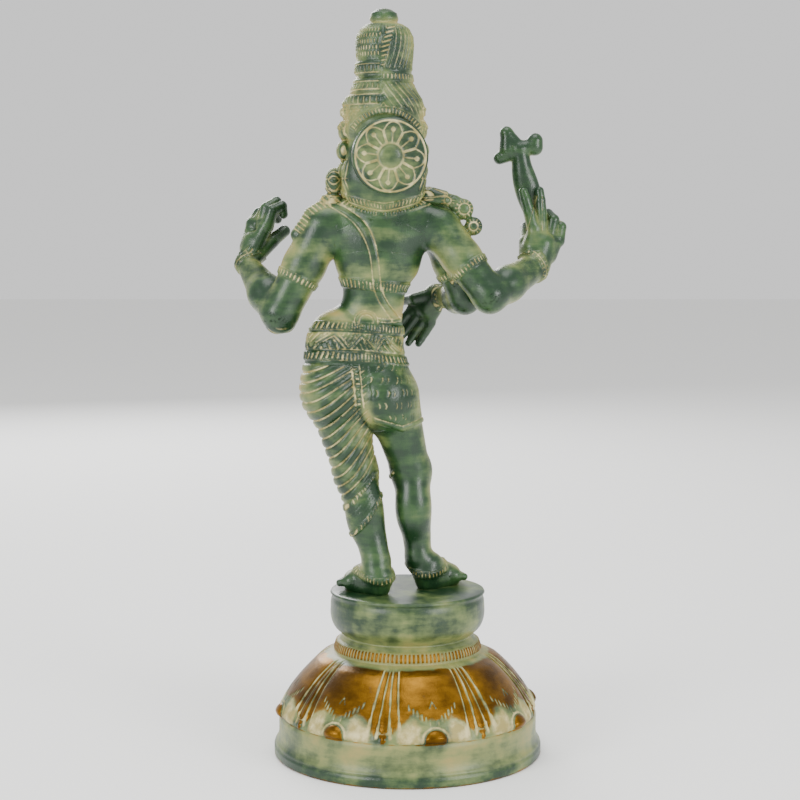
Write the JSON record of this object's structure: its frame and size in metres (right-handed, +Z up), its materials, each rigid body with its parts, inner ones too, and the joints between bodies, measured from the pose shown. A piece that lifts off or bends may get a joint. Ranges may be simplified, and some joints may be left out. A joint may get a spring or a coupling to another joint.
{
  "type": "ardhanarishvara statue",
  "caption": "Standing brass statue of a half man, half woman deity with several arms, an axe, a tall crown and a wheel behind the head, on a round lotus pedestal.",
  "frame": {"origin": "middle of the pedestal's underside", "axes": "+Z up through the crown, -Y towards where the figure faces, +X towards the figure's left, the woman's half"},
  "size_m": [0.2056, 0.164, 0.4506],
  "materials": {
    "patinated_brass": "satin green and cream patina over cast brass, rubbed bare on the lotus dome"
  },
  "bodies": {
    "root": {"statue": "patinated_brass"}
  },
  "joints": []
}
